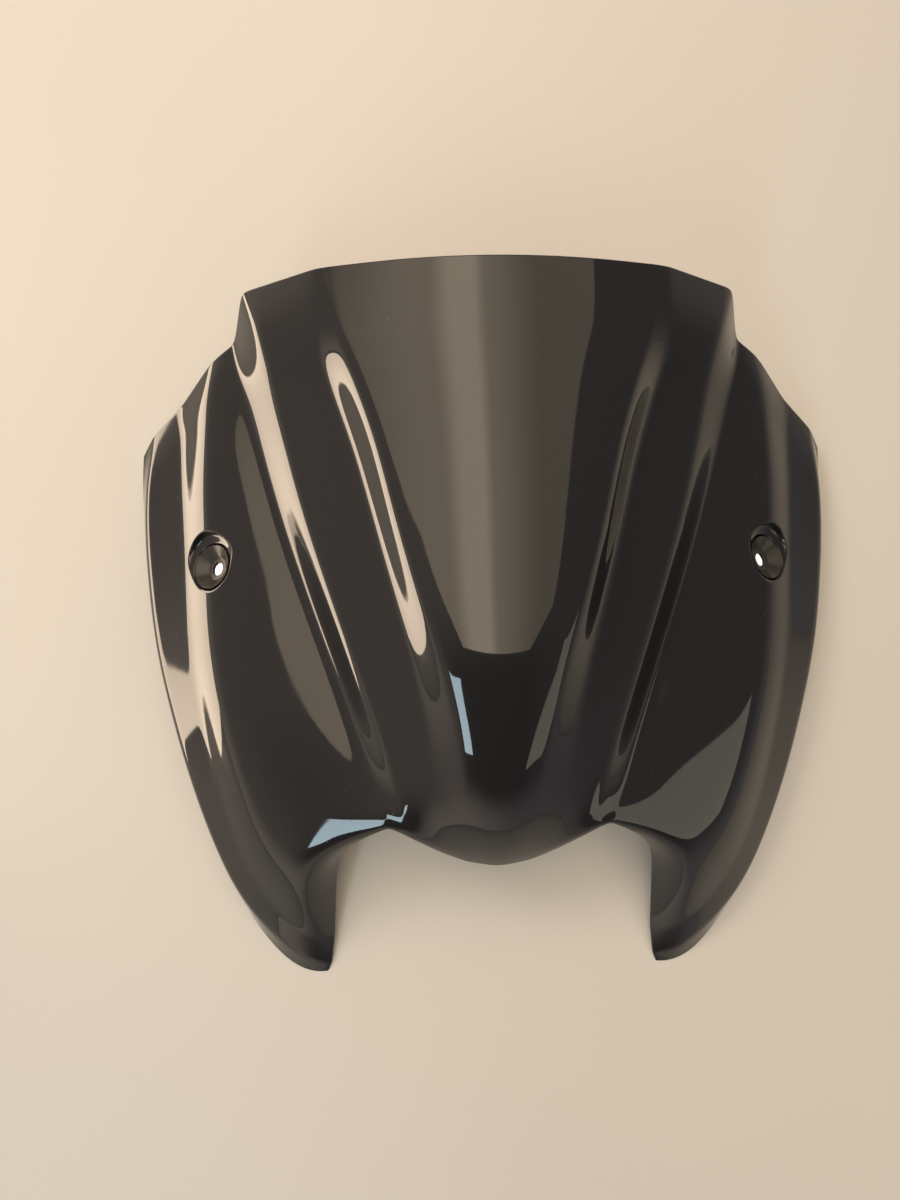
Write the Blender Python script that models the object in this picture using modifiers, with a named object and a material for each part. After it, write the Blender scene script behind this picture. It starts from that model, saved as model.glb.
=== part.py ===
"""Motorcycle windshield screen: a moulded shell with a cup washer on a rubber ring in each bolt recess.

The screen lies on its side edges and leg tips, outer face up. +Y runs to the top edge, X is the
width with the plane of symmetry at X = 0, and Z = 0 is the surface it rests on. Left and right are
the rider's, so left is +X.
"""

import math

import bmesh
import bpy
import numpy as np
from mathutils import Matrix, Vector
from mathutils.bvhtree import BVHTree

MM = 0.001

# Overall sizes of the moulding
OVERALL_WIDTH = 400 * MM
OVERALL_LENGTH = 386 * MM
OVERALL_HEIGHT = 121 * MM
WALL = 3.0 * MM

# Pressed form
CHANNEL_DEPTH = 14 * MM  # how far the two long channels sink below the centre panel
FILLET = 6 * MM  # run of the rounding beside each pressed wall
REST_OVERRUN = 2 * MM  # how far the side edges run past the resting plane before they are trimmed to it

# Bolt recesses
RECESS_X = 152 * MM
RECESS_Y = 48 * MM
RECESS_TILT_IN = math.radians(33)  # the recess axis leans towards the plane of symmetry
RECESS_TILT_DOWN = math.radians(14)  # and towards the legs
RECESS_MOUTH_D = 35 * MM
RECESS_SHOULDER = 2 * MM  # depth at which the straight wall of the mouth turns into the slope
RECESS_SLOPE = 1.6 * MM  # how much deeper the slope ends, at the washer's rim
RECESS_HOLE_D = 17 * MM
FLOOR_THICKNESS = 2.5 * MM

# Cup washer and the rubber ring under it
WASHER_D = 24 * MM
WASHER_LAND_D = 12 * MM  # the flat in the middle, for the screw's head
WASHER_BORE_D = 7.2 * MM
WASHER_WALL = 1.5 * MM
WASHER_RIM_DEPTH = 3 * MM  # of its rim under the mouth
WASHER_CUP_DEPTH = 5 * MM  # from its rim down to its flat
RING_WALL = 1.2 * MM
FIT_GAP = 0.3 * MM
RIM_CLEARANCE = 1 * MM  # round the washer's rim, for a finger nail or a pick

# Fineness of the solids
SKIN_COLUMNS = 34
SKIN_ROWS = 30
ROUND_STEPS = 36

# The cage of the half at +X, drawn in millimetres at this size and scaled to the overall sizes above.
# Each rail runs from the top edge, or from the shoulder of the wing, down to the free lower edge.
DRAWN_WIDTH, DRAWN_LENGTH, DRAWN_HEIGHT = 400, 386, 121
CENTRE = [
    (0, 192, 106), (0, 160, 112), (0, 141, 115), (0, 105, 119), (0, 65, 121.5), (0, 27, 121.5),
    (0, -10, 118), (0, -45, 109), (0, -75, 93), (0, -97, 76), (0, -110, 62), (0, -116, 54),
]
PANEL_EDGE = [
    (80, 192, 91), (78, 160, 98), (72, 141, 101), (59, 105, 108), (50, 65, 113), (39, 27, 116),
    (28, -10, 114), (21, -45, 105), (19, -75, 89), (18, -96, 73), (18, -108, 60), (18, -113, 53),
]
CHANNEL_IN = [
    (88, 192, 88), (88, 160, 94), (83, 139, 96), (70, 104, 103), (60, 65, 110), (50, 27, 113),
    (40, -10, 109), (34, -45, 99), (32, -75, 84), (31, -94, 70), (31, -104, 61), (31, -107, 56),
]
CHANNEL_OUT = [
    (130, 189, 62), (119, 160, 76), (114, 140, 81), (106, 104, 88), (96, 65, 92), (84, 27, 95),
    (72, -10, 91), (61, -43, 84), (53, -71, 77), (49, -86, 73), (47, -94, 69), (46, -97, 65),
]
LOBE_IN = [
    (136, 168, 46), (133, 153, 50), (130, 139, 52), (120, 104, 57), (109, 65, 61), (96, 27, 64),
    (83, -10, 66), (72, -43, 67), (64, -70, 69), (60, -83, 71), (58, -88, 71), (57, -90, 69),
]
LOBE_MID = [
    (147, 161, 42), (146, 149, 46), (144, 135, 49), (139, 103, 54), (131, 63, 58), (123, 25, 61),
    (115, -12, 63), (106, -46, 64), (97, -76, 64), (87, -91, 65), (80, -98, 63), (79, -101, 58),
]
LOBE_OUT = [
    (151, 158, 40), (151, 146, 44), (150, 131, 47), (147, 100, 52), (141, 62, 56), (137, 24, 59),
    (131, -14, 61), (124, -48, 61), (116, -80, 60), (109, -101, 59), (101, -115, 55), (87, -116, 37),
]
CREASE_TOP = [
    (156, 153, 37), (156, 141, 41), (155, 128, 44), (154, 97, 50), (151, 58, 55), (149, 20, 57),
    (146, -17, 58), (139, -52, 57), (130, -88, 54), (120, -115, 48), (106, -141, 37), (90, -141, 20),
]
CREASE_FOOT = [
    (169.7, 139, 26.7), (169.5, 127, 29.5), (168.2, 113, 32.2), (167, 85, 37), (165, 50, 40), (164, 13, 42),
    (160, -23, 42), (154, -60, 39), (145.2, -98, 35.2), (132.5, -132, 30.5), (105.8, -166, 18.8), (92, -166, 8),
]
BAND_TOP = [
    (189.3, 122.3, 18.2), (190.8, 110, 20), (192.8, 94.4, 22.2), (194, 68.5, 23), (192.2, 38.8, 24), (188.8, 3, 25),
    (181.5, -32.5, 24), (171.8, -72.2, 22.5), (157.8, -115.5, 19), (141.4, -150.5, 15.5), (108.4, -184.6, 7.8), (95, -186, 2),
]
SIDE_EDGE = [
    (197, 113, 10), (199, 101, 6), (200, 86, 2), (200, 62, 0), (198, 35, 0), (193, 0, 0),
    (185, -35, 0), (175, -75, 0), (160, -120, 0), (144, -157, 0), (121, -190, 0), (100, -196, 0),
]
CHANNEL_FADE = [0, 0, 1, 1, 1, 1, 0.65, 0.25, 0, 0, 0, 0]  # share of the channel depth at each row
FIRST_RESTING_ROW = 3  # from here down the side edge lies on the resting plane


def scaled(rail):
    size = (OVERALL_WIDTH / DRAWN_WIDTH, OVERALL_LENGTH / DRAWN_LENGTH, OVERALL_HEIGHT / DRAWN_HEIGHT)
    return np.array(rail, float) * size


def beside(corner, neighbour):
    """The rail a fillet's run away from a corner rail, towards its neighbour."""
    step = neighbour - corner
    length = np.linalg.norm(step, axis=1, keepdims=True)
    return corner + step * np.minimum(FILLET / length, 0.4)


def cage():
    """The control points of the half at +X, rows by rails by three."""
    centre, panel_edge, channel_in, channel_out, lobe_in, lobe_mid, lobe_out = map(
        scaled, (CENTRE, PANEL_EDGE, CHANNEL_IN, CHANNEL_OUT, LOBE_IN, LOBE_MID, LOBE_OUT)
    )
    crease_top, crease_foot, band_top, side_edge = map(
        scaled, (CREASE_TOP, CREASE_FOOT, BAND_TOP, SIDE_EDGE)
    )
    sink = CHANNEL_DEPTH * np.array(CHANNEL_FADE)
    channel_in[:, 2] -= sink
    channel_out[:, 2] -= sink
    side_edge[FIRST_RESTING_ROW:, 2] -= REST_OVERRUN
    panel_mid = (centre + panel_edge) / 2
    panel_mid[:, 2] += (centre[:, 2] - panel_edge[:, 2]) / 4
    rails = [
        centre, panel_mid, beside(panel_edge, panel_mid), panel_edge,
        channel_in, beside(channel_in, channel_out), beside(channel_out, channel_in), channel_out,
        lobe_in, beside(lobe_in, lobe_mid), lobe_mid, lobe_out, crease_top,
        crease_foot, beside(crease_foot, band_top), beside(band_top, crease_foot), band_top, side_edge,
    ]
    return np.stack(rails, axis=1)


def blend_weights(places, count):
    """Weights of a cubic spline's control points at places from 0 to count - 1. Row 0 of the table is
    the point before the first, and the last row is the point after the last."""
    table = np.zeros((len(places), count + 2))
    for row, place in zip(table, places):
        start = min(int(place), count - 2)
        t = place - start
        row[start : start + 4] = (
            (1 - t) ** 3 / 6,
            (3 * t**3 - 6 * t**2 + 4) / 6,
            (-3 * t**3 + 3 * t**2 + 3 * t + 1) / 6,
            t**3 / 6,
        )
    return table


def with_ends(points, mirrored=False):
    """The points along axis 0, with one more at each end. A mirrored start crosses the plane X = 0."""
    before = points[1] * (-1, 1, 1) if mirrored else 2 * points[0] - points[1]
    return np.concatenate([[before], points, [2 * points[-1] - points[-2]]])


def skin_points(rows, columns):
    """The outer face of the half at +X as rows x columns points."""
    points = with_ends(cage())
    row_weights = blend_weights(np.linspace(0, points.shape[0] - 3, rows), points.shape[0] - 2)
    sections = np.einsum("rk,kcx->rcx", row_weights, points)
    rails = with_ends(sections.transpose(1, 0, 2), mirrored=True)
    column_weights = blend_weights(np.linspace(0, rails.shape[0] - 3, columns), rails.shape[0] - 2)
    return np.einsum("ck,krx->rcx", column_weights, rails)


def material(name, colour, roughness, metallic=0.0, coat=0.0):
    made = bpy.data.materials.new(name)
    made.use_nodes = True
    shader = made.node_tree.nodes["Principled BSDF"]
    shader.inputs["Base Color"].default_value = (*colour, 1)
    shader.inputs["Roughness"].default_value = roughness
    shader.inputs["Metallic"].default_value = metallic
    shader.inputs["Coat Weight"].default_value = coat
    return made


def add_object(name, mesh, collection, finish=None):
    made = bpy.data.objects.new(name, mesh)
    collection.objects.link(made)
    if finish:
        mesh.materials.append(finish)
    return made


def make_helper(obj):
    obj.hide_render = True
    obj.display_type = "WIRE"
    return obj


def grid_mesh(name, points):
    """A mesh over rows x columns points, facing up where rows run towards -Y and columns towards +X."""
    rows, columns = points.shape[:2]
    shape = bmesh.new()
    bmesh.ops.create_grid(shape, x_segments=columns - 1, y_segments=rows - 1, size=1)
    places = sorted(shape.verts, key=lambda v: (-round(v.co.y, 6), round(v.co.x, 6)))
    for vertex, place in zip(places, points.reshape(-1, 3)):
        vertex.co = place
    mesh = bpy.data.meshes.new(name)
    shape.to_mesh(mesh)
    shape.free()
    return mesh


def add_boolean(obj, operation, other):
    cut = obj.modifiers.new(f"{operation.lower()} {other.name}", "BOOLEAN")
    cut.operation = operation
    cut.object = other


def add_mirror(obj):
    mirror = obj.modifiers.new("other half", "MIRROR")
    mirror.use_clip = True
    mirror.merge_threshold = 0.0001


def turned(name, profile, collection, place, finish=None):
    """A body turned about its own Z from (radius, height) points running down its outer side."""
    mesh = bpy.data.meshes.new(name)
    outline = [(radius, 0, height) for radius, height in profile]
    closed = all(radius > 0 for radius, _ in profile)
    edges = [(i, i + 1) for i in range(len(outline) - 1)] + ([(len(outline) - 1, 0)] if closed else [])
    mesh.from_pydata(outline, edges, [])
    obj = add_object(name, mesh, collection, finish)
    turn = obj.modifiers.new("turn", "SCREW")
    turn.steps = turn.render_steps = ROUND_STEPS
    turn.use_merge_vertices = True
    turn.merge_threshold = 0.00001
    turn.use_smooth_shade = True
    obj.matrix_world = place
    return obj


def recess_frame(side, skin_tree):
    """The recess's own frame: its origin on the outer face, its Z pointing out of the recess."""
    outward = Vector(
        (
            side * math.sin(RECESS_TILT_IN),
            math.sin(RECESS_TILT_DOWN),
            math.cos(RECESS_TILT_IN) * math.cos(RECESS_TILT_DOWN),
        )
    ).normalized()
    x = RECESS_X * OVERALL_WIDTH / (DRAWN_WIDTH * MM)
    y = RECESS_Y * OVERALL_LENGTH / (DRAWN_LENGTH * MM)
    above = Vector((x, y, OVERALL_HEIGHT))
    hit, _, _, _ = skin_tree.ray_cast(above, Vector((0, 0, -1)))
    across = Vector((0, 1, 0)).cross(outward).normalized()
    turn = Matrix((across, outward.cross(across), outward)).transposed().to_4x4()
    return Matrix.Translation((side * hit.x, hit.y, hit.z)) @ turn


def cup_depth(radius, below=0.0):
    """Depth of the cup's cone at a radius, on a line that lies below the washer's face by a wall's width."""
    run = (WASHER_D - WASHER_LAND_D) / 2
    steepening = math.hypot(1, WASHER_CUP_DEPTH / run)
    return WASHER_RIM_DEPTH + (WASHER_D / 2 - radius) * WASHER_CUP_DEPTH / run + below * steepening


def seat_depth(radius):
    """Depth of the moulded cone that the rubber ring lies on."""
    return cup_depth(radius, WASHER_WALL + RING_WALL + 2 * FIT_GAP)


def recess_profile():
    """The recess and the hole in its floor, as one cutter that rises clear of the skin."""
    clear = RECESS_MOUTH_D
    mouth = RECESS_MOUTH_D / 2
    seat = WASHER_D / 2 + RIM_CLEARANCE
    hole = RECESS_HOLE_D / 2
    below = -seat_depth(hole) - 2 * FLOOR_THICKNESS
    return [
        (0, clear),
        (mouth, clear),
        (mouth, -RECESS_SHOULDER),
        (seat, -RECESS_SHOULDER - RECESS_SLOPE),
        (seat, -seat_depth(seat)),
        (hole, -seat_depth(hole)),
        (hole, below),
        (0, below),
    ]


def boss_profile():
    """The boss behind the recess, before it is trimmed under the skin."""
    mouth = RECESS_MOUTH_D / 2 + WALL
    seat = WASHER_D / 2 + RIM_CLEARANCE + WALL
    back = -seat_depth(RECESS_HOLE_D / 2) - FLOOR_THICKNESS
    return [
        (0, RECESS_MOUTH_D),
        (mouth, RECESS_MOUTH_D),
        (mouth, -RECESS_SHOULDER - WALL),
        (seat, -RECESS_SHOULDER - RECESS_SLOPE - WALL),
        (seat, back),
        (0, back),
    ]


def washer_profile():
    """A dished washer: a flat round the bore, a cone, and a rim."""
    bore = WASHER_BORE_D / 2
    rim = WASHER_D / 2
    land = WASHER_RIM_DEPTH + WASHER_CUP_DEPTH
    foot = land + WASHER_WALL
    foot_radius = rim - (foot - cup_depth(rim, WASHER_WALL)) * (rim - WASHER_LAND_D / 2) / WASHER_CUP_DEPTH
    return [
        (bore, -land),
        (WASHER_LAND_D / 2, -land),
        (rim, -WASHER_RIM_DEPTH),
        (rim, -cup_depth(rim, WASHER_WALL)),
        (foot_radius, -foot),
        (bore, -foot),
    ]


def ring_profile():
    """A rubber ring between the washer's cone and the moulding's."""
    inner = RECESS_HOLE_D / 2 + FIT_GAP
    outer = WASHER_D / 2
    top = WASHER_WALL + FIT_GAP
    return [
        (inner, -cup_depth(inner, top)),
        (outer, -cup_depth(outer, top)),
        (outer, -cup_depth(outer, top + RING_WALL)),
        (inner, -cup_depth(inner, top + RING_WALL)),
    ]


def under_skin(points, collection):
    """Everything behind the middle of the wall on one side, to trim what must not stand out of the skin."""
    mesh = grid_mesh("under_skin", points)
    shape = bmesh.new()
    shape.from_mesh(mesh)
    bmesh.ops.translate(shape, verts=shape.verts[:], vec=(0, 0, -WALL / 2))
    below = bmesh.ops.extrude_face_region(shape, geom=shape.faces[:])
    moved = [item for item in below["geom"] if isinstance(item, bmesh.types.BMVert)]
    bmesh.ops.translate(shape, verts=moved, vec=(0, 0, -OVERALL_HEIGHT))
    bmesh.ops.recalc_face_normals(shape, faces=shape.faces[:])
    shape.to_mesh(mesh)
    shape.free()
    return make_helper(add_object("under_skin", mesh, collection))


def below_rest(collection):
    """The space under the resting plane, to cut the side edges and the leg tips flat."""
    bpy.ops.mesh.primitive_cube_add(size=1)
    obj = bpy.context.object
    obj.name = "below_rest"
    obj.data.transform(Matrix.Diagonal((2 * OVERALL_WIDTH, 2 * OVERALL_LENGTH, OVERALL_HEIGHT, 1)))
    obj.data.transform(Matrix.Translation((0, 0, -OVERALL_HEIGHT / 2)))
    for owner in obj.users_collection:
        owner.objects.unlink(obj)
    collection.objects.link(obj)
    return make_helper(obj)


def build():
    for obj in list(bpy.data.objects):
        bpy.data.objects.remove(obj, do_unlink=True)
    parts = bpy.data.collections.new("windshield_screen")
    cutters = bpy.data.collections.new("cutters")
    cutters.hide_render = True
    for collection in (parts, cutters):
        bpy.context.scene.collection.children.link(collection)

    gloss_black = material("gloss_black", (0.010, 0.010, 0.011), 0.05, coat=1.0)
    satin_black = material("satin_black", (0.022, 0.020, 0.018), 0.32)
    rubber = material("rubber", (0.035, 0.033, 0.031), 0.60)

    points = skin_points(SKIN_ROWS, SKIN_COLUMNS)
    mesh = grid_mesh("screen_shell", points)
    skin_tree = BVHTree.FromPolygons([v.co for v in mesh.vertices], [p.vertices for p in mesh.polygons])
    shell = add_object("screen_shell", mesh, parts, gloss_black)
    mesh.shade_smooth()
    add_mirror(shell)
    wall = shell.modifiers.new("wall", "SOLIDIFY")
    wall.thickness = WALL
    wall.offset = -1
    wall.use_even_offset = True

    for side, word in ((1, "left"), (-1, "right")):
        place = recess_frame(side, skin_tree)
        half = points if side > 0 else (points * (-1, 1, 1))[:, ::-1]
        boss = make_helper(turned(f"{word}_boss", boss_profile(), cutters, place))
        add_boolean(boss, "INTERSECT", under_skin(half, cutters))
        recess = make_helper(turned(f"{word}_recess", recess_profile(), cutters, place))
        add_boolean(shell, "UNION", boss)
        add_boolean(shell, "DIFFERENCE", recess)
        turned(f"{word}_cup_washer", washer_profile(), parts, place, satin_black)
        turned(f"{word}_rubber_ring", ring_profile(), parts, place, rubber)
    add_boolean(shell, "DIFFERENCE", below_rest(cutters))


build()
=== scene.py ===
"""A motorcycle windshield screen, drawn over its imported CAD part: a polished black moulding with a cup washer
on a rubber ring in each bolt recess, lying outer face up on a pale table.

Lengths are in metres. +Y runs to the screen's top edge, and +X is the rider's left.
"""

import math

import bmesh
import bpy
import numpy as np
from mathutils import Euler, Matrix, Vector


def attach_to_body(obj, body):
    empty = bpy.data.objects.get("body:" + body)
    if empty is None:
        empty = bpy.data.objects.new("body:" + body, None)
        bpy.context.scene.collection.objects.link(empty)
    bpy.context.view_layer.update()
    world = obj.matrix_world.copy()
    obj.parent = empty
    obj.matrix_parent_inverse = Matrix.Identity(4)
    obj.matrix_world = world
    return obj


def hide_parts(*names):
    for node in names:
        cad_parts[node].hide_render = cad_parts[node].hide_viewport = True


bl_info = {
    "name": "Windshield screen",
    "version": (1, 0, 0),
    "blender": (4, 5, 0),
    "location": "3D View > Sidebar > Screen",
    "description": "Builds a moulded motorcycle windshield screen with its cup washers and rubber rings",
    "category": "Object",
}

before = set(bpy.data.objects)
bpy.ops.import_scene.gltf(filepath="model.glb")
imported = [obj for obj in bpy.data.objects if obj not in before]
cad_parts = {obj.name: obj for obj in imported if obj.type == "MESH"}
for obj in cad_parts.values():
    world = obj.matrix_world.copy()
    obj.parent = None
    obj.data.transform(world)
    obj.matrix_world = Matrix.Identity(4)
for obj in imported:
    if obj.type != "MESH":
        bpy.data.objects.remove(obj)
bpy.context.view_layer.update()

MM = 0.001

# The cage of the half at +X, in millimetres. Each rail runs from the top edge, or from the shoulder of the
# wing, down to the free lower edge.
CENTRE = [
    (0, 192, 106), (0, 160, 112), (0, 141, 115), (0, 105, 119), (0, 65, 121.5), (0, 27, 121.5),
    (0, -10, 118), (0, -45, 109), (0, -75, 93), (0, -97, 76), (0, -110, 62), (0, -116, 54),
]
PANEL_EDGE = [
    (80, 192, 91), (78, 160, 98), (72, 141, 101), (59, 105, 108), (50, 65, 113), (39, 27, 116),
    (28, -10, 114), (21, -45, 105), (19, -75, 89), (18, -96, 73), (18, -108, 60), (18, -113, 53),
]
CHANNEL_IN = [
    (88, 192, 88), (88, 160, 94), (83, 139, 96), (70, 104, 103), (60, 65, 110), (50, 27, 113),
    (40, -10, 109), (34, -45, 99), (32, -75, 84), (31, -94, 70), (31, -104, 61), (31, -107, 56),
]
CHANNEL_OUT = [
    (130, 189, 62), (119, 160, 76), (114, 140, 81), (106, 104, 88), (96, 65, 92), (84, 27, 95),
    (72, -10, 91), (61, -43, 84), (53, -71, 77), (49, -86, 73), (47, -94, 69), (46, -97, 65),
]
LOBE_IN = [
    (136, 168, 46), (133, 153, 50), (130, 139, 52), (120, 104, 57), (109, 65, 61), (96, 27, 64),
    (83, -10, 66), (72, -43, 67), (64, -70, 69), (60, -83, 71), (58, -88, 71), (57, -90, 69),
]
LOBE_MID = [
    (147, 161, 42), (146, 149, 46), (144, 135, 49), (139, 103, 54), (131, 63, 58), (123, 25, 61),
    (115, -12, 63), (106, -46, 64), (97, -76, 64), (87, -91, 65), (80, -98, 63), (79, -101, 58),
]
LOBE_OUT = [
    (151, 158, 40), (151, 146, 44), (150, 131, 47), (147, 100, 52), (141, 62, 56), (137, 24, 59),
    (131, -14, 61), (124, -48, 61), (116, -80, 60), (109, -101, 59), (101, -115, 55), (87, -116, 37),
]
CREASE_TOP = [
    (156, 153, 37), (156, 141, 41), (155, 128, 44), (154, 97, 50), (151, 58, 55), (149, 20, 57),
    (146, -17, 58), (139, -52, 57), (130, -88, 54), (120, -115, 48), (106, -141, 37), (90, -141, 20),
]
CREASE_FOOT = [
    (169.7, 139, 26.7), (169.5, 127, 29.5), (168.2, 113, 32.2), (167, 85, 37),
    (165, 50, 40), (164, 13, 42), (160, -23, 42), (154, -60, 39),
    (145.2, -98, 35.2), (132.5, -132, 30.5), (105.8, -166, 18.8), (92, -166, 8),
]
BAND_TOP = [
    (189.3, 122.3, 18.2), (190.8, 110, 20), (192.8, 94.4, 22.2), (194, 68.5, 23),
    (192.2, 38.8, 24), (188.8, 3, 25), (181.5, -32.5, 24), (171.8, -72.2, 22.5),
    (157.8, -115.5, 19), (141.4, -150.5, 15.5), (108.4, -184.6, 7.8), (95, -186, 2),
]
SIDE_EDGE = [
    (197, 113, 10), (199, 101, 6), (200, 86, 2), (200, 62, 0), (198, 35, 0), (193, 0, 0),
    (185, -35, 0), (175, -75, 0), (160, -120, 0), (144, -157, 0), (121, -190, 0), (100, -196, 0),
]
CHANNEL_FADE = [0, 0, 1, 1, 1, 1, 0.65, 0.25, 0, 0, 0, 0]  # share of the channel depth at each row
FIRST_RESTING_ROW = 3  # from here down the side edge lies on the resting plane
REST_OVERRUN = 2 * MM  # how far the side edges run past the resting plane before they are trimmed to it
REST_RAIL = 14  # from this rail out the columns are drawn in, so that the last one lies on the resting plane
REST_HALVINGS = 40  # steps of the search for the resting plane
FILLET_LIMIT = 0.4  # most of the way to the next rail that a rounding may take

# The bolt recess at +X: the other one is its mirror image
RECESS_ORIGIN = np.array((152.0, 48.0, 52.186)) * MM
RECESS_TILT_IN = math.radians(33)
RECESS_TILT_DOWN = math.radians(14)
RECESS_ROW, RECESS_RAIL = 4.24, 12.05  # where the search for the skin round the recess starts
SEARCH_ROWS = (2.5, 7)
SEARCH_RAILS = (8, 16)
SEARCH_STEPS = 50
SEARCH_SHARE = 0.6  # share of each step that is taken, so that the search stays steady in the crease

# Heights and roundings along a recess's outline. Heights are over its mouth.
SPOKE_TOP = 7 * MM  # the outline starts above the skin, and is cut off where it meets it
MOUTH_FOOT = -2 * MM
SEAT_TOP = -3.6 * MM
STRAIGHT_WALL = -5 * MM  # below this the wall has passed the rounding under its mouth
STRAIGHT_BOSS = -11.2 * MM  # above this the boss has passed the rounding at its back
ROOT_BLEND = 1.3 * MM  # run of the rounding where the boss leaves the moulding
WALL_SAMPLES = 2400  # places along the outline at which it is held against the faces
FACE_SAMPLES = 12  # places along each spoke at which a face is measured
SPOKE_EVENING = 0.35  # share by which the spokes are moved to even spacing

# Fineness of the moulding
ROWS_PER_SPAN = 12
COLUMNS_PER_SPAN = 8
CORNER_STEPS = 4
RECESS_BLOCK = (42, 60, 78, 112)  # first and last row, first and last column of the grid that it replaces
LIP_RINGS = 10  # from the grid to the recess's lip
WALL_RINGS = 18  # down the recess's wall
BOSS_RINGS = 8  # up the boss, and from it to the grid of the inner face

# Colours that stay as they are
DUST = (0.30, 0.27, 0.23)
UNLIT = (0.05, 0.05, 0.05)  # the darkest part of the room

# The stage
TABLE_REACH = 2
CAMERA_PLACE = (-0.0383, 0.027, 0.534)
CAMERA_TURN = (0.0336, -1.7997, -1.0705)  # degrees about X, Y and Z
KEY_PLACE = (-0.85, 0.85, 1.2)
UNDER_PLACE = (0.153, 0.048, 0.032)  # under the boss at +X, over the table that shows through its bore

# Corners of the glowing cards round the stage
CEILING = [
    (-3.0, 2.9, 2.2), (2.0, 2.8, 2.2), (1.1, -0.28, 2.2),
    (0.7, -0.66, 2.2), (-0.65, -0.66, 2.2), (-1.1, 0.3, 2.2),
]
WINDOW = [(-0.92, -0.83, 1.57), (-0.66, -0.86, 1.68), (-0.65, -1.59, 1.03), (-0.85, -1.54, 0.94)]
SIDE_GLOW = [(-0.31, -0.12, 0.002), (-0.31, 0.3, 0.002), (-0.5, 0.3, 0.055), (-0.5, -0.12, 0.055)]
FAR_WALL = [(1.06, -0.51, 1.62), (1.68, -0.4, 1.0), (1.58, -1.05, 0.61), (0.69, -1.68, 0.83)]


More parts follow.
